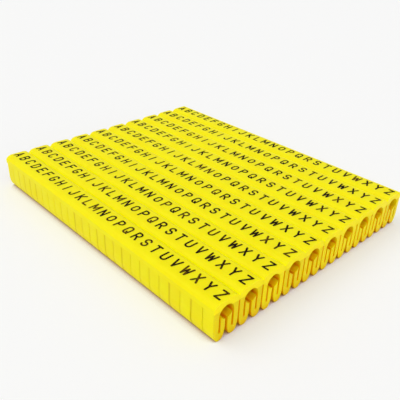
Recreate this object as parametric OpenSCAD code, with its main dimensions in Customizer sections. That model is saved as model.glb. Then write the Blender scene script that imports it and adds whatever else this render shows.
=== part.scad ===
// Mat of clip-on cable markers: soft plastic strips lying side by side, each one extrusion.
// A strip is knife-cut from below into single markers, which the uncut crown still holds together.
// X runs along the strips, Y across them and Z up, with the feet standing on Z = 0.

/* [Mat] */
// Number of strips side by side
strip_count = 10; // [1:1:16]
// Length of a strip
strip_l = 72.8; // [5.6:0.1:300]
// Length of one marker along the cable
marker_pitch = 2.8; // [2:0.1:8]

/* [Cable channel] */
// Diameter of the cable that the lips are scooped to hold under the roof
channel_d = 2.8; // [2:0.1:6]
// Thickness of the roof between the channel and the printed face
roof_t = 1.15; // [0.6:0.05:2]
// Height of the throat, from the feet up to the lowest point of the cable
throat_h = 4.1; // [3.5:0.1:8]
// Width of the slot between the two lips, through which the cable snaps in
slot_w = 0.6; // [0.3:0.05:1.2]

/* [Lips and walls] */
// Width of the groove that lets a lip bend away from the wall beside it
groove_w = 0.45; // [0.2:0.05:0.8]
// Distance by which the cable's side overhangs each groove, so that the groove opens beside the cable
groove_lap = 0.1; // [0.02:0.01:0.2]
// Height of the closed bottom of each groove above the feet
groove_floor = 1.6; // [1:0.05:2.4]
// Thickness of the outer wall beside a groove
wall_t = 1.05; // [0.6:0.05:2]

/* [Crown] */
// Radius of the two long top edges
shoulder_r = 1.75; // [1.2:0.05:3]
// Height by which a top edge has fallen where it meets the land at its side
shoulder_drop = 0.85; // [0.3:0.05:1.1]
// Height of the flat land below each top edge, along which neighbouring strips touch
land_h = 0.95; // [0.3:0.05:1.4]
// Distance by which the wall below a land stands back from it
wall_setback = 0.175; // [0.05:0.005:0.4]

/* [Feet] */
// Radius of the round bend at the bottom of each leg
foot_r = 0.95; // [0.5:0.05:1]
// Height above the feet at which the two faces of a leg start to curve together
flank_h = 2.45; // [1.8:0.05:3]

/* [Knife cuts] */
// Width of the cut between two markers
cut_w = 0.1; // [0.05:0.01:0.3]

/* [Hidden] */
$fn = 96;
// Overshoot that takes a cutting shape clear of the face it passes
clear = 1;

// The section, with its middle plane at zero
channel_r = channel_d / 2;
channel_z = throat_h + channel_r;
strip_h = throat_h + channel_d + roof_t;
roof_z = strip_h - roof_t;
lip_face = channel_r - groove_lap;
arch_r = lip_face + groove_w;
wall_face = arch_r + wall_t;
strip_w = 2 * (wall_face + wall_setback);
land_top = strip_h - shoulder_drop;
land_bottom = land_top - land_h;
shoulder_w = sqrt(shoulder_r ^ 2 - (shoulder_r - shoulder_drop) ^ 2);

// One leg, from the slot to the outside of the wall
leg_mid = (slot_w / 2 + wall_face) / 2;
leg_half = (wall_face - slot_w / 2) / 2;
// Each face of a leg bends down to the foot on an arc that is tangent to the face and to the foot
bend_h = flank_h - foot_r;
flank_r = (leg_half ^ 2 + bend_h ^ 2 - foot_r ^ 2) / (2 * (leg_half - foot_r));
tangent_z = foot_r * (1 - bend_h / (flank_r - foot_r));

// The whole mat, centred on the origin along X and Y; the two end markers take up what is left of a pitch
marker_count = round(strip_l / marker_pitch);
first_strip_y = -(strip_count - 1) / 2 * strip_w;
first_cut_x = -(marker_count / 2 - 1) * marker_pitch;

// Both halves of a shape that is drawn on the positive side of the middle plane
module both_sides() {
    children();
    mirror([1, 0]) children();
}

// What is left outside the round of one top edge
module shoulder_waste() {
    difference() {
        translate([strip_w / 2 - shoulder_w, land_top])
            square([shoulder_w + clear, shoulder_drop + clear]);
        translate([strip_w / 2 - shoulder_w, strip_h - shoulder_r])
            circle(shoulder_r);
    }
}

// Crown over the full width: a block with round shoulders and a flat land below each
module crown() {
    difference() {
        translate([-strip_w / 2, land_bottom])
            square([strip_w, land_h + shoulder_drop]);
        both_sides() shoulder_waste();
    }
}

// Rounded lower end of a leg: two flanks that curve together and the foot that they run into
module leg_end() {
    translate([leg_mid, foot_r])
        circle(foot_r);
    intersection() {
        translate([leg_mid + leg_half - flank_r, flank_h])
            circle(flank_r);
        translate([leg_mid - leg_half + flank_r, flank_h])
            circle(flank_r);
        translate([leg_mid - leg_half, tangent_z])
            square([2 * leg_half, flank_h - tangent_z]);
    }
}

// One leg, wall and lip together: a block that is trimmed to the rounded end below its flanks
module leg() {
    difference() {
        translate([leg_mid - leg_half, -clear])
            square([2 * leg_half, land_bottom + clear]);
        difference() {
            translate([leg_mid - leg_half - clear, -2 * clear])
                square([2 * (leg_half + clear), flank_h + 2 * clear]);
            leg_end();
        }
    }
}

// Groove with a round floor between a lip and the wall beside it, up to the foot of the arch
module groove() {
    floor_r = groove_w / 2;
    translate([lip_face, groove_floor + floor_r])
        square([groove_w, roof_z - arch_r - groove_floor - floor_r]);
    translate([lip_face + floor_r, groove_floor + floor_r])
        circle(floor_r);
}

// Half of a round opening: the part above its middle if side is 1, below it if side is -1
module half_round(radius, middle_z, side) {
    intersection() {
        translate([0, middle_z])
            circle(radius);
        translate([-radius, side > 0 ? middle_z : middle_z - radius - clear])
            square([2 * radius, radius + clear]);
    }
}

// Hollow of a strip: an arch from wall to wall, the seat that the lips form for the cable,
// the slot between the lips and the groove behind each lip
module hollow() {
    half_round(arch_r, roof_z - arch_r, 1);
    half_round(channel_r, channel_z, -1);
    translate([-slot_w / 2, -clear])
        square([slot_w, channel_z + clear]);
    both_sides() groove();
}

// Section of a strip: crown and legs around the hollow
module strip_section() {
    difference() {
        union() {
            crown();
            both_sides() leg();
        }
        hollow();
    }
}

// Knife cuts between the markers, from below the feet up to the underside of the lands
module knife_cuts() {
    for (cut = [0:marker_count - 2])
        translate([first_cut_x + cut * marker_pitch - cut_w / 2, -strip_w / 2 - clear, -clear])
            cube([cut_w, strip_w + 2 * clear, land_bottom + clear]);
}

// One strip of markers: row 0 is the front strip
module marker_strip(row) {
    color([0.96, 0.90, 0.06])
        translate([0, first_strip_y + row * strip_w, 0])
            difference() {
                rotate([90, 0, 90])
                    linear_extrude(strip_l, center = true)
                        strip_section();
                knife_cuts();
            }
}

for (row = [0:strip_count - 1])
    marker_strip(row);
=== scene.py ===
# %% [markdown]
# # A mat of clip-on cable markers
# The object is a small yellow mat of soft plastic strips, lying side by side and printed with the letters A
# to Z. A marker is torn off its strip and snapped over a wire. The solids of the strips come from the CAD
# model. This lesson gives them their plastic, prints the letters on them, and sets up the picture.

# %% Load the strips
import math
import random
import bmesh
import bpy
from mathutils import Matrix, Vector
from mathutils.geometry import delaunay_2d_cdt


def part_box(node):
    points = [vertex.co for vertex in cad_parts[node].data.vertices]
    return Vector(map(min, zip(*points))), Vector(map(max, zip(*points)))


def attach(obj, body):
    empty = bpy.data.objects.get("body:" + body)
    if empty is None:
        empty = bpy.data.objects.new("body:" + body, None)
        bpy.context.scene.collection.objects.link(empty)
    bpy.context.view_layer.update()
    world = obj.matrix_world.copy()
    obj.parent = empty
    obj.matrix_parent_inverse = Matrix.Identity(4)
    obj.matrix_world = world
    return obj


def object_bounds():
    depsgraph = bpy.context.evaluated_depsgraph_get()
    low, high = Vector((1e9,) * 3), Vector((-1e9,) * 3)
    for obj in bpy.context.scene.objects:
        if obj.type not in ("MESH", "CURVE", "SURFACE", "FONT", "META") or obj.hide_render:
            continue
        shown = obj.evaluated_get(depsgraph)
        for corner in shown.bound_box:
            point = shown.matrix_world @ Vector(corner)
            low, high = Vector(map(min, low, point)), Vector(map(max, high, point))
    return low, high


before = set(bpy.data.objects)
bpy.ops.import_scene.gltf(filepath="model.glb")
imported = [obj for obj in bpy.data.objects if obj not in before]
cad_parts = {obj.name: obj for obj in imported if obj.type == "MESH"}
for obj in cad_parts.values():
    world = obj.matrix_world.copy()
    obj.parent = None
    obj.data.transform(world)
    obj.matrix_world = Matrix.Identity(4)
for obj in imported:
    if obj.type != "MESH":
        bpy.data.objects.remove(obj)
cad_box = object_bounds()
MM = 0.001
strips = [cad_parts[name] for name in sorted(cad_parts)]
print("strips:", len(strips), "CAD box in mm:", [[round(v / MM, 2) for v in corner] for corner in cad_box])

# %% [markdown]
# ## Where the markers lie
# Everything that follows needs the place of one marker. The mat has 26 markers in a strip, one for each
# letter, so the pitch is the strip's length shared by 26. It could be typed in as a number, but then the
# print would slip off its markers as soon as the CAD model is stretched. So it is measured on the frame.

# %% Measure the pitch of the markers and the width of a strip
ALPHABET = "ABCDEFGHIJKLMNOPQRSTUVWXYZ"
low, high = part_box(strips[0].name)
pitch = (high[0] - low[0]) / len(ALPHABET)
strip_width = high[1] - low[1]
top_z = high[2]
print("pitch %.2f mm, strip %.2f mm wide, printed face at %.2f mm" %
      (pitch / MM, strip_width / MM, top_z / MM))

# %% [markdown]
# ## A short way to wire shader nodes
# A procedural material is a small network of nodes. Wiring it line by line hides the idea behind clicks and
# links, so one helper makes a node and fills its sockets. A value that is itself a socket is linked, and
# any other value is typed into the socket. The other helpers name what the networks below do again and
# again: sums, masks multiplied together, a range mapped to another, noise, a throw of dice for each
# numbered cell, and how open a place is.

# %% Node helpers
def new_material(name):
    material = bpy.data.materials.new(name)
    material.use_nodes = True
    material.node_tree.nodes.clear()
    return material, material.node_tree


def node(tree, kind, sockets=None, **settings):
    made = tree.nodes.new(kind)
    for key, value in settings.items():
        setattr(made, key, value)
    for key, value in (sockets or {}).items():
        if isinstance(value, bpy.types.NodeSocket):
            tree.links.new(value, made.inputs[key])
        else:
            made.inputs[key].default_value = value
    return made


def math_node(tree, operation, *values):
    return node(tree, "ShaderNodeMath", dict(enumerate(values)), operation=operation).outputs[0]


def product(tree, first, *others):
    for other in others:
        first = math_node(tree, "MULTIPLY", first, other)
    return first


print("helpers for nodes, sums and masks are ready")

# %% Helpers for ranges, colours and noise
OFF_ON = (0.0, 1.0)
ON_OFF = (1.0, 0.0)
OPENNESS_RAYS = 8


def spread(tree, value, source, target):
    """Maps a value from one range to another, and stops at the ends."""
    sockets = {"Value": value, 1: source[0], 2: source[1], 3: target[0], 4: target[1]}
    return node(tree, "ShaderNodeMapRange", sockets).outputs[0]


def mix_colour(tree, factor, first, second):
    """A mix of two colours, which are sockets 6 and 7 of the node and output 2."""
    return node(tree, "ShaderNodeMix", {0: factor, 6: first, 7: second}, data_type="RGBA").outputs[2]


def noise(tree, vector, scale, detail):
    """Cloudy noise; the scale counts its patches in one unit of the vector."""
    return node(tree, "ShaderNodeTexNoise", {"Vector": vector, "Scale": scale, "Detail": detail}).outputs[0]


def dice(tree, column, row):
    """A number from zero to one that is the same all over one numbered cell."""
    cell = node(tree, "ShaderNodeCombineXYZ", {0: column, 1: row}).outputs[0]
    return node(tree, "ShaderNodeTexWhiteNoise", {"Vector": cell}, noise_dimensions="3D").outputs[0]


def ambient_openness(tree, reach):
    """One in the open, and towards zero where faces within the reach shut out the sky."""
    return node(tree, "ShaderNodeAmbientOcclusion", {"Distance": reach}, samples=OPENNESS_RAYS).outputs["AO"]


print("helpers for ranges, colours and noise are ready")

# %% [markdown]
# ## The yellow plastic
# The strips are soft PVC, coloured right through. Out in the open it is a clear yellow. Deep in the channel
# and in the gaps between the legs the light has met the plastic many times before it leaves, and each time
# it has lost more green than red, so these places turn orange. This cell sets the open colours and lays
# clouds of a deeper yellow over the surface. Noise in three dimensions is used, because it needs no
# unwrapping and runs through the solid, as the pigment does.

# %% Yellow with clouds of a deeper yellow
PVC_YELLOW = (0.900, 0.815, 0.003, 1)
PVC_DEEP = (0.870, 0.720, 0.001, 1)
CLOUD_SCALE = 240.0
CLOUD_RANGE = (0.45, 0.75)
CLOUD_SHARE = 0.45
pvc, tree = new_material("yellow_pvc")
place = node(tree, "ShaderNodeTexCoord").outputs["Object"]
axes = node(tree, "ShaderNodeSeparateXYZ", {0: place}).outputs
clouds = noise(tree, place, CLOUD_SCALE, detail=4.0)
pvc_colour = mix_colour(tree, spread(tree, clouds, CLOUD_RANGE, (0.0, CLOUD_SHARE)), PVC_YELLOW, PVC_DEEP)
print("plastic", PVC_YELLOW[:3], "with clouds", PVC_DEEP[:3])

# %% [markdown]
# The surface comes straight from the extruder: satin, with faint streaks along the strip. Noise that is
# squeezed across the strip and stretched along it draws them. The two ends of a strip are cut faces, and
# their colour is painted shade: a deeper, more orange yellow than the open plastic. They could be picked by
# hand, face by face, but apart from the hidden sides of the knife cuts they alone look along the strip, so
# the direction of the surface finds them.

# %% Streaks and painted shade on the cut ends
PVC_CUT_END_SHADE = (0.950, 0.790, 0.001, 1)
STREAK_SCALE = (60, 2600, 2600)
STREAK_RANGE = (0.35, 0.75)
STREAK_SHARE = 0.3
CUT_END_FACING = (0.7, 0.95)
stretched = node(tree, "ShaderNodeMapping", {"Vector": place, "Scale": STREAK_SCALE}).outputs[0]
streaks = noise(tree, stretched, scale=1.0, detail=3.0)
pvc_colour = mix_colour(tree, spread(tree, streaks, STREAK_RANGE, (0.0, STREAK_SHARE)), pvc_colour, PVC_DEEP)
normal = node(tree, "ShaderNodeNewGeometry").outputs["Normal"]
facing_x = math_node(tree, "ABSOLUTE", node(tree, "ShaderNodeSeparateXYZ", {0: normal}).outputs["X"])
is_cut_end = spread(tree, facing_x, CUT_END_FACING, OFF_ON)
# Painted shade: the cut ends get a deeper, more orange yellow
pvc_colour = mix_colour(tree, is_cut_end, pvc_colour, PVC_CUT_END_SHADE)
print("streaks along the strip and deeper cut ends")

# %% [markdown]
# On the side of a strip every cut between two markers shows as a line of shade, some dark and some hardly
# there. The cuts themselves are in the solid, but they are thinner than a pixel from a step away, so their
# shade is painted on the plastic beside each, a little darker. The place along the strip, counted in
# pitches, tells how far the next cut is, and white noise on the number of the cut gives each its own
# strength.

# %% Painted shade of the knife cuts between two markers
CUT_SHADE = (0.640, 0.450, 0.000, 1)
CUT_TOP = (top_z - 1.6 * MM, top_z - 1.9 * MM)
CUT_SHADE_REACH = (0.02, 0.13)
CUT_SHADE_CHANCE = (0.2, 1.0)
CUT_SHADE_STRENGTH = (0.05, 0.8)
in_pitches = math_node(tree, "DIVIDE", axes["X"], pitch)
strip_number = math_node(tree, "FLOOR", math_node(tree, "DIVIDE", axes["Y"], strip_width))
cut_number = math_node(tree, "ROUND", in_pitches)
from_cut = math_node(tree, "ABSOLUTE", math_node(tree, "SUBTRACT", in_pitches, cut_number))
below_crown = spread(tree, axes["Z"], CUT_TOP, OFF_ON)
near_cut = spread(tree, from_cut, CUT_SHADE_REACH, ON_OFF)
cut_shade_strength = spread(tree, dice(tree, cut_number, strip_number), CUT_SHADE_CHANCE, CUT_SHADE_STRENGTH)
# Painted shade beside each knife cut, with a strength thrown for each cut
pvc_colour = mix_colour(tree, product(tree, near_cut, cut_shade_strength, below_crown), pvc_colour, CUT_SHADE)
print("knife marks start %.1f mm below the printed face" % ((top_z - CUT_TOP[0]) / MM))

# %% [markdown]
# Once cut, the markers spread a little, and each takes the light in its own way. The same trick with white
# noise gives each marker a tone.

# %% Tone of each marker
TONE_SHARE = 0.5
marker_tone = dice(tree, math_node(tree, "FLOOR", in_pitches), strip_number)
pvc_colour = mix_colour(tree, product(tree, marker_tone, below_crown, TONE_SHARE), pvc_colour, PVC_DEEP)
print("markers differ in tone by up to", TONE_SHARE, "of the deeper yellow")

# %% [markdown]
# Then comes the orange. Scattering alone could make it, but to reach that far the thin walls would lose
# their light, so an ambient occlusion node finds the enclosed places and the colour is mixed there. Two
# masks keep it below the round shoulders and away from the open outer sides.

# %% Orange of enclosed places
PVC_ENCLOSED = (0.980, 0.340, 0.000, 1)
ENCLOSED_REACH = 3.0 * MM
ENCLOSED_RANGE = (0.2, 0.82)
ROOF_EDGE = (top_z - 0.9 * MM, top_z - 1.1 * MM)
mat_side = cad_box[1][1]
OUTER_WALL = (mat_side - 1.5 * MM, mat_side - 1.3 * MM)
under_roof = spread(tree, axes["Z"], ROOF_EDGE, OFF_ON)
inside_mat = spread(tree, math_node(tree, "ABSOLUTE", axes["Y"]), OUTER_WALL, ON_OFF)
shut_in = spread(tree, ambient_openness(tree, ENCLOSED_REACH), ENCLOSED_RANGE, ON_OFF)
enclosed = product(tree, shut_in, under_roof, inside_mat)
pvc_colour = mix_colour(tree, enclosed, pvc_colour, PVC_ENCLOSED)
print("places enclosed within %.0f mm turn orange" % (ENCLOSED_REACH / MM))

# %% [markdown]
# Between two strips the round shoulders meet in a valley. Light that enters the thin shoulders comes out
# again at its bottom, so that on the real mat no dark line is seen there. The valley lies at a known
# height, so its height picks it out: there the plastic is a little lighter and loses its shine. The cut
# ends reach the same height and are left out.

# %% Glow in the valleys between strips
PVC_GLOW = (1.000, 0.930, 0.002, 1)
VALLEY_DEPTH = (0.50 * MM, 0.80 * MM)
PVC_SHINE = 0.08
in_valley = spread(tree, axes["Z"], (top_z - VALLEY_DEPTH[0], top_z - VALLEY_DEPTH[1]), OFF_ON)
above_land = math_node(tree, "SUBTRACT", 1.0, under_roof)
not_cut_end = math_node(tree, "SUBTRACT", 1.0, is_cut_end)
valley = product(tree, in_valley, above_land, inside_mat, not_cut_end)
pvc_colour = mix_colour(tree, valley, pvc_colour, PVC_GLOW)
pvc_shine = spread(tree, valley, OFF_ON, (PVC_SHINE, 0.0))
print("valleys glow from %.2f mm below the printed face" % (VALLEY_DEPTH[0] / MM))

# %% [markdown]
# A cut marker is not quite flat: its side bows out between the cuts and leans a little. That is less than a
# tenth of a millimetre, so it is relief in the shading and not in the mesh. A first bump node makes the
# bow, and a second one adds streaks and specks on top of it.

# %% Relief: each marker bows and leans a little between its cuts, over fine grain
DICE_MEAN = 0.5
BOW_REACH = (0.0, 0.3)
BOW_HEIGHT = 0.06 * MM
BOW_STRENGTH = 0.5
SPECK_SCALE = 3200.0
SPECK_SHARE = 0.35
GRAIN_HEIGHT = 0.08 * MM
GRAIN_STRENGTH = 0.12
bowed = spread(tree, from_cut, BOW_REACH, OFF_ON)
slope = math_node(tree, "SUBTRACT", marker_tone, DICE_MEAN)
leaning = product(tree, slope, math_node(tree, "FRACT", in_pitches))
bow_form = product(tree, math_node(tree, "ADD", bowed, leaning), below_crown)
bow = node(tree, "ShaderNodeBump", {
    "Strength": BOW_STRENGTH, "Distance": BOW_HEIGHT, "Height": bow_form}).outputs[0]
specks = noise(tree, place, SPECK_SCALE, detail=2.0)
pvc_grain = math_node(tree, "ADD", streaks, product(tree, specks, SPECK_SHARE))
pvc_relief = node(tree, "ShaderNodeBump", {
    "Strength": GRAIN_STRENGTH, "Distance": GRAIN_HEIGHT, "Height": pvc_grain, "Normal": bow}).outputs[0]
shown_bow = BOW_STRENGTH * BOW_HEIGHT
shown_grain = GRAIN_STRENGTH * GRAIN_HEIGHT
print("relief: about %.3f mm of bow and %.3f mm of grain" % (shown_bow / MM, shown_grain / MM))

# %% [markdown]
# All this goes into one Principled shader. The plastic is satin, so it is rather rough and shines little.
# Light spreads below its surface, and that softens the edges. In the enclosed places it spreads further,
# because there most of the light has come through the plastic above.

# %% Shader of the plastic
ROUGH_RANGE = (0.3, 0.7)
PVC_ROUGHNESS = (0.36, 0.46)
SCATTER_WEIGHT = (0.5, 0.95)
SCATTER_REACH = (0.9 * MM, 2.4 * MM)
SCATTER_BY_COLOUR = (1.0, 0.80, 0.1)
shader = node(tree, "ShaderNodeBsdfPrincipled", {
    "Base Color": pvc_colour,
    "Roughness": spread(tree, clouds, ROUGH_RANGE, PVC_ROUGHNESS),
    "Normal": pvc_relief,
    "IOR": 1.5,
    "Specular IOR Level": pvc_shine,
    "Subsurface Weight": spread(tree, enclosed, OFF_ON, SCATTER_WEIGHT),
    "Subsurface Radius": SCATTER_BY_COLOUR,
    "Subsurface Scale": spread(tree, enclosed, OFF_ON, SCATTER_REACH),
}).outputs[0]
node(tree, "ShaderNodeOutputMaterial", {"Surface": shader})
for strip in strips:
    strip.data.materials.clear()
    strip.data.materials.append(pvc)
print("plastic on", len(strips), "strips")

# %% [markdown]
# ## The stamped letters
# The letters are plain stamped capitals with one even stroke. Blender's text object would be the short way,
# but its built-in font has widths and stroke ends of its own. So each letter is drawn here as the path of a
# pen with a round tip: straight runs and arcs in a box as wide and as high as the letter less one pen.

# %% Size of a letter and the moves of the pen
CAP_HEIGHT = 2.6 * MM
CAP_WIDTH = 1.58 * MM
PEN = 0.40 * MM
# Width, height and half width of the box; short names keep the table of letters readable
W = CAP_WIDTH - PEN
H = CAP_HEIGHT - PEN
R = W / 2
# Degrees between two points of an arc, its fewest steps, and the angle at which C, G and S are open
ARC_STEP = 12
ARC_LEAST = 4
OPEN_AT = 20
BOWL_R = 0.55 * W


def arc(x, y, radius, start, end):
    """Points of an arc, from one angle to another in degrees, anticlockwise positive."""
    steps = max(ARC_LEAST, round(abs(end - start) / ARC_STEP))
    angles = [math.radians(start + (end - start) * i / steps) for i in range(steps + 1)]
    return [(x + radius * math.cos(a), y + radius * math.sin(a)) for a in angles]


def bowl(bottom, top):
    """The round part of a B, D, P or R: out from the stem, round and back."""
    radius = min((top - bottom) / 2, BOWL_R)
    out = arc(W - radius, bottom + radius, radius, -90, 0) + arc(W - radius, top - radius, radius, 0, 90)
    return [(0, bottom)] + out + [(0, top)]


def closed_round(inset):
    """The two halves of an O that stays the inset below the top and above the foot of the letters."""
    upper, lower = H - R - inset, R + inset
    left = arc(R, upper, R, 90, 180) + arc(R, lower, R, 180, 270)
    right = arc(R, lower, R, 270, 360) + arc(R, upper, R, 0, 90)
    return [left, right]


def open_round(end):
    """A C that starts at the upper right and ends at an angle of its lower arc."""
    return arc(R, H - R, R, OPEN_AT, 180) + arc(R, R, R, 180, end)


print("pen %.2f mm, letters %.2f by %.2f mm" % (PEN / MM, CAP_WIDTH / MM, CAP_HEIGHT / MM))

# %% [markdown]
# Most letters fill their box. Bars, waists and forks have heights of their own, M and W are broader than
# the rest so that their strokes stay apart, and the O is a little shorter, as on the real stamp.

# %% Heights and widths inside the letters
A_BAR = 0.32 * H
MIDDLE_BAR = 0.53 * H
SHORT_BAR = 0.85 * W
G_BAR = 0.42 * H
G_IN = 0.55 * W
H_BAR = 0.52 * H
J_R = 0.425 * W
K_FOOT = 0.36 * H
K_FORK = 0.3
M_DIP = 0.25 * H
O_INSET = 0.07 * H
P_WAIST = 0.46 * H
Q_TAIL = (0.55 * W, 0.28 * H)
S_R = 0.26 * H
W_STEP = 0.34 * W
W_PEAK = 0.8 * H
Y_FORK = 0.45 * H
BROAD_LEFT = -0.16 * W
BROAD_RIGHT = W - BROAD_LEFT
print("M and W are %.2f mm broader than the rest" % ((BROAD_RIGHT - BROAD_LEFT - W) / MM))

# %% The path of the pen for each letter
STEM = [(0, 0), (0, H)]
TOP_BAR = [(0, H), (W, H)]
FOOT_BAR = [(0, 0), (W, 0)]
HALF_BAR = [(0, MIDDLE_BAR), (SHORT_BAR, MIDDLE_BAR)]
A_IN = R * A_BAR / H
K_JOIN = (K_FORK * W, K_FOOT + K_FORK * (H - K_FOOT))
LETTER_RUNS = {
    "A": [[(0, 0), (R, H)], [(R, H), (W, 0)], [(A_IN, A_BAR), (W - A_IN, A_BAR)]],
    "B": [STEM, bowl(MIDDLE_BAR, H), bowl(0, MIDDLE_BAR)],
    "C": [open_round(360 - OPEN_AT)],
    "D": [STEM, bowl(0, H)],
    "E": [STEM, TOP_BAR, HALF_BAR, FOOT_BAR],
    "F": [STEM, TOP_BAR, HALF_BAR],
    "G": [open_round(360), [(W, R), (W, G_BAR)], [(W, G_BAR), (G_IN, G_BAR)]],
    "H": [STEM, [(W, 0), (W, H)], [(0, H_BAR), (W, H_BAR)]],
    "I": [[(R, 0), (R, H)]],
    "J": [[(2 * J_R, H)] + arc(J_R, J_R, J_R, 0, -180)],
    "K": [STEM, [(W, H), (0, K_FOOT)], [K_JOIN, (W, 0)]],
    "L": [STEM, FOOT_BAR],
    "M": [[(BROAD_LEFT, 0), (BROAD_LEFT, H)], [(BROAD_LEFT, H), (R, M_DIP)], [(R, M_DIP), (BROAD_RIGHT, H)],
          [(BROAD_RIGHT, H), (BROAD_RIGHT, 0)]],
    "N": [STEM, [(0, H), (W, 0)], [(W, 0), (W, H)]],
    "O": closed_round(O_INSET),
    "P": [STEM, bowl(P_WAIST, H)],
    "Q": closed_round(0) + [[Q_TAIL, (W, 0)]],
    "R": [STEM, bowl(P_WAIST, H), [(R, P_WAIST), (W, 0)]],
    "S": [arc(R, H - S_R, S_R, OPEN_AT, 270) + arc(R, S_R, S_R, 90, OPEN_AT - 180)],
    "T": [[(R, 0), (R, H)], TOP_BAR],
    "U": [[(0, H)] + arc(R, R, R, 180, 360) + [(W, H)]],
    "V": [[(0, H), (R, 0)], [(R, 0), (W, H)]],
    "W": [[(BROAD_LEFT, H), (R - W_STEP, 0)], [(R - W_STEP, 0), (R, W_PEAK)], [(R, W_PEAK), (R + W_STEP, 0)],
          [(R + W_STEP, 0), (BROAD_RIGHT, H)]],
    "X": [[(0, 0), (W, H)], [(0, H), (W, 0)]],
    "Y": [[(R, 0), (R, Y_FORK)], [(0, H), (R, Y_FORK)], [(R, Y_FORK), (W, H)]],
    "Z": [TOP_BAR, [(W, H), (0, 0)], FOOT_BAR],
}
print("letters drawn:", "".join(sorted(LETTER_RUNS)))

# %% [markdown]
# ## From pen path to a clean outline
# A run of the pen is a ribbon with a round dot at each end. Where ribbons cross they would lie in one
# another, which gives double faces. Blender's constrained Delaunay triangulation takes all ribbons and dots
# at once and returns triangles that do not overlap, each with a list of the shapes it came from. Keeping
# the triangles that came from at least one shape is the union of them all. It works in millimetres here:
# with the tiny numbers of metres the M came out as a filled block at some widths of the pen.

# %% Ribbons, dots and their union
NEAR_MM = 1e-5
ALL_TRIANGLES = 0


def ribbon(run):
    """The outline of a run, anticlockwise: along its right side and back along its left side."""
    points = [Vector(p) for p in run]
    left, right = [], []
    for i, point in enumerate(points):
        ahead = (points[min(i + 1, len(points) - 1)] - points[max(i - 1, 0)]).normalized()
        side = Vector((-ahead.y, ahead.x)) * PEN / 2
        left.append(point + side)
        right.append(point - side)
    return right + left[::-1]


def dot(point):
    return [Vector(p) for p in arc(point[0], point[1], PEN / 2, 0, 360)[:-1]]


def inked_triangles(letter):
    """Corners and triangles of one letter, flat, with its middle at the origin."""
    corners, faces = [], []
    for run in LETTER_RUNS[letter]:
        for shape in (ribbon(run), dot(run[0]), dot(run[-1])):
            faces.append(list(range(len(corners), len(corners) + len(shape))))
            corners += [corner / MM for corner in shape]
    points, _, triangles, _, _, sources = delaunay_2d_cdt(corners, [], faces, ALL_TRIANGLES, NEAR_MM, True)
    kept = [t for t, source in zip(triangles, sources) if source]
    centre = Vector((W / 2, H / 2))
    return [p * MM - centre for p in points], kept


letter_shapes = {letter: inked_triangles(letter) for letter in ALPHABET}
print("triangles in all letters:", sum(len(triangles) for _, triangles in letter_shapes.values()))

# %% [markdown]
# A union can go wrong without a word: a missing edge can fill a letter to a block. So the ink of each
# letter is measured against the ink that its runs would take one by one. Crossings count once in the union,
# so the share stays at one or below.

# %% Measure the ink of each letter
def ink_share(letter):
    points, triangles = letter_shapes[letter]
    area = sum(abs((points[b] - points[a]).cross(points[c] - points[a])) / 2 for a, b, c in triangles)
    runs = LETTER_RUNS[letter]
    path = sum((Vector(b) - Vector(a)).length for run in runs for a, b in zip(run, run[1:]))
    return area / (path * PEN + len(runs) * math.pi * PEN ** 2 / 4)


print("ink against pen path:", {letter: round(ink_share(letter), 2) for letter in ALPHABET})

# %% [markdown]
# ## Printing a strip
# The ink is a film far thinner than a hair. A picture pasted on the plastic would be lost when the plastic
# changes, and a face lying exactly in the top face would flicker, so each letter becomes a thin closed chip
# that starts just inside the plastic and ends just above it. All letters of a strip are one piece. A stamp
# never presses evenly, so each letter also carries a number, the strength of its ink.

# %% One printed row for each strip
INK_SUNK = 0.010 * MM
INK_PROUD = 0.012 * MM
PRESS_LOSS = 0.35
# A high power leaves most letters well pressed
PRESS_POWER = 3
rng = random.Random(26)


def print_letter(bm, strength, letter, middle_x, middle_y):
    points, triangles = letter_shapes[letter]
    pressed = 1.0 - PRESS_LOSS * rng.random() ** PRESS_POWER
    verts = [bm.verts.new((middle_x + p.x, middle_y + p.y, top_z - INK_SUNK)) for p in points]
    faces = [bm.faces.new([verts[k] for k in t]) for t in triangles]
    grown = bmesh.ops.extrude_face_region(bm, geom=faces)["geom"]
    lifted = [g for g in grown if isinstance(g, bmesh.types.BMVert)]
    for v in verts + lifted:
        v[strength] = pressed
    for v in lifted:
        v.co.z = top_z + INK_PROUD


def print_row(name, strip):
    row_low, row_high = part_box(strip.name)
    middle_y = (row_low[1] + row_high[1]) / 2
    bm = bmesh.new()
    strength = bm.verts.layers.float.new("ink")
    for i, letter in enumerate(ALPHABET):
        print_letter(bm, strength, letter, row_low[0] + (i + 0.5) * pitch, middle_y)
    loose = [v for v in bm.verts if not v.link_faces]
    bmesh.ops.delete(bm, geom=loose, context="VERTS")
    bmesh.ops.recalc_face_normals(bm, faces=bm.faces)
    mesh = bpy.data.meshes.new(name)
    bm.to_mesh(mesh)
    bm.free()
    piece = bpy.data.objects.new(name, mesh)
    bpy.context.scene.collection.objects.link(piece)
    return piece


prints = [print_row(strip.name.replace("strip", "print"), strip) for strip in strips]
print("printed rows:", len(prints), "faces in a row:", len(prints[0].data.polygons))

# %% [markdown]
# ## The ink
# Stamped ink is a warm black, thinner where the stamp pressed less. The patches come from a fine noise. It
# is compared with the strength of the letter: where the noise is higher, the ink is thin and the yellow
# below browns it.

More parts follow.
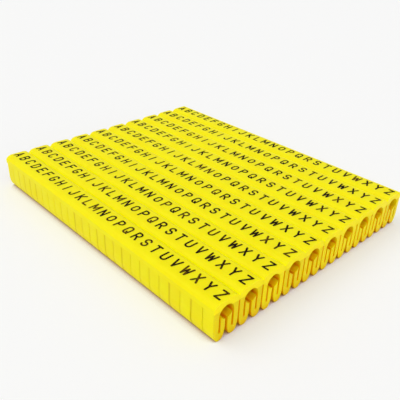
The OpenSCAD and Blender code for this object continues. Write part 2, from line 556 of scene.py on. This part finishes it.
# %% Ink material
INK_BLACK = (0.010, 0.005, 0.001, 1)
INK_THIN = (0.22, 0.12, 0.001, 1)
INK_PATCH_SCALE = 2400.0
PRESS_SHARE = 0.7
THIN_RANGE = (-0.15, 0.30)
INK_ROUGHNESS = (0.45, 0.65)
ink, tree = new_material("print_ink")
place = node(tree, "ShaderNodeTexCoord").outputs["Object"]
pressed = node(tree, "ShaderNodeAttribute", attribute_name="ink").outputs["Fac"]
patches = noise(tree, place, INK_PATCH_SCALE, detail=4.0)
thinness = math_node(tree, "SUBTRACT", patches, product(tree, pressed, PRESS_SHARE))
shader = node(tree, "ShaderNodeBsdfPrincipled", {
    "Base Color": mix_colour(tree, spread(tree, thinness, THIN_RANGE, OFF_ON), INK_BLACK, INK_THIN),
    "Roughness": spread(tree, patches, ROUGH_RANGE, INK_ROUGHNESS),
    "Specular IOR Level": 0.04,
}).outputs[0]
node(tree, "ShaderNodeOutputMaterial", {"Surface": shader})
for piece in prints:
    piece.data.materials.append(ink)
    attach(piece, "root")
print("ink on", len(prints), "rows")

# %% [markdown]
# ## Floor and light
# The mat lies on plain white paper. Its white could come from more light, but that would burn out the
# yellow, so the paper glows a little for the camera alone and still takes the shadow. In the gaps between
# the feet only light that has passed the plastic reaches the paper. There it turns brown, found by ambient
# occlusion as before.

# %% Paper floor
PAPER = (0.945, 0.945, 0.940, 1)
PAPER_ENCLOSED = (0.380, 0.170, 0.004, 1)
BETWEEN_FEET = (0.20, 0.62)
PAPER_SIZE = 3.0
PAPER_GAP = 0.02 * MM
PAPER_GLOW = 0.35
half = PAPER_SIZE / 2
paper_mesh = bpy.data.meshes.new("paper")
paper_corners = [(-half, -half, 0), (half, -half, 0), (half, half, 0), (-half, half, 0)]
paper_mesh.from_pydata(paper_corners, [], [(0, 1, 2, 3)])
paper = bpy.data.objects.new("paper", paper_mesh)
paper.location.z = cad_box[0][2] - PAPER_GAP
bpy.context.scene.collection.objects.link(paper)
paper_white, tree = new_material("paper_white")
between_feet = spread(tree, ambient_openness(tree, ENCLOSED_REACH), BETWEEN_FEET, ON_OFF)
paper_colour = mix_colour(tree, between_feet, PAPER, PAPER_ENCLOSED)
lit = node(tree, "ShaderNodeBsdfPrincipled", {"Base Color": paper_colour, "Roughness": 0.9}).outputs[0]
glow = node(tree, "ShaderNodeEmission", {"Color": paper_colour}).outputs[0]
seen = product(tree, node(tree, "ShaderNodeLightPath").outputs["Is Camera Ray"], PAPER_GLOW)
shader = node(tree, "ShaderNodeMixShader", {0: seen, 1: lit, 2: glow}).outputs[0]
node(tree, "ShaderNodeOutputMaterial", {"Surface": shader})
paper_mesh.materials.append(paper_white)
print("paper", PAPER_SIZE, "m square")

# %% [markdown]
# A bright even world fills the shadows, as the white walls of a studio do. One wide, soft sun from above
# and the front gives the mat its form, and a weaker one from the right reaches into the open ends. Area
# lamps would do as well, but suns light near and far alike. Together all three shine with a strength of
# about one on a level face, so that colours come out as they were written.

# %% Even world and two soft suns
WORLD_LEVEL = 0.64
KEY_FROM = Vector((-0.40, -0.42, 0.81))
KEY_LEVEL = 0.30
KEY_ANGLE = 50
END_FROM = Vector((0.84, -0.25, 0.48))
END_LEVEL = 0.24
END_ANGLE = 60
world = bpy.data.worlds.new("studio")
bpy.context.scene.world = world
world.use_nodes = True
sky = world.node_tree.nodes["Background"]
sky.inputs["Color"].default_value = (1, 1, 1, 1)
sky.inputs["Strength"].default_value = WORLD_LEVEL


def soft_sun(name, comes_from, strength, angle):
    """A wide sun of a given strength on a face that looks at it; returns its light on a level face."""
    data = bpy.data.lights.new(name, "SUN")
    data.energy = strength * math.pi
    data.angle = math.radians(angle)
    lamp = bpy.data.objects.new(name, data)
    lamp.rotation_euler = comes_from.to_track_quat("Z", "Y").to_euler()
    bpy.context.scene.collection.objects.link(lamp)
    return strength * comes_from.normalized().z


level_light = WORLD_LEVEL
level_light += soft_sun("key_sun", KEY_FROM, KEY_LEVEL, KEY_ANGLE)
level_light += soft_sun("end_sun", END_FROM, END_LEVEL, END_ANGLE)
print("light on a level face: %.2f" % level_light)

# %% [markdown]
# ## The camera
# The camera stands near one corner of the mat and looks down on it at about thirty degrees, close enough
# that the far letters shrink to half. It is placed by its distance and two angles from the point that it
# looks at, and it leans by two degrees, as a hand-held picture does.

# %% Camera
LOOK_AT = Vector((10.135, -8.238, 8.05)) * MM
DISTANCE = 110.03 * MM
AZIMUTH = math.radians(45.797)
ELEVATION = math.radians(29.633)
LEAN = math.radians(2.032)
reach = math.cos(ELEVATION)
back = Vector((math.sin(AZIMUTH) * reach, -math.cos(AZIMUTH) * reach, math.sin(ELEVATION)))
camera_data = bpy.data.cameras.new("camera")
camera_data.sensor_width = 36
camera_data.lens = 46.377
camera_data.clip_start = 0.005
camera = bpy.data.objects.new("camera", camera_data)
aim = back.to_track_quat("Z", "Y").to_matrix() @ Matrix.Rotation(LEAN, 3, "Z")
camera.matrix_world = Matrix.Translation(LOOK_AT + back * DISTANCE) @ aim.to_4x4()
bpy.context.scene.collection.objects.link(camera)
bpy.context.scene.camera = camera
print("camera at", [round(v / MM, 1) for v in camera.matrix_world.translation], "mm")

# %% [markdown]
# ## Colour management
# The Standard view shows the colours as they are written.

# %% Finish
bpy.context.scene.view_settings.view_transform = "Standard"
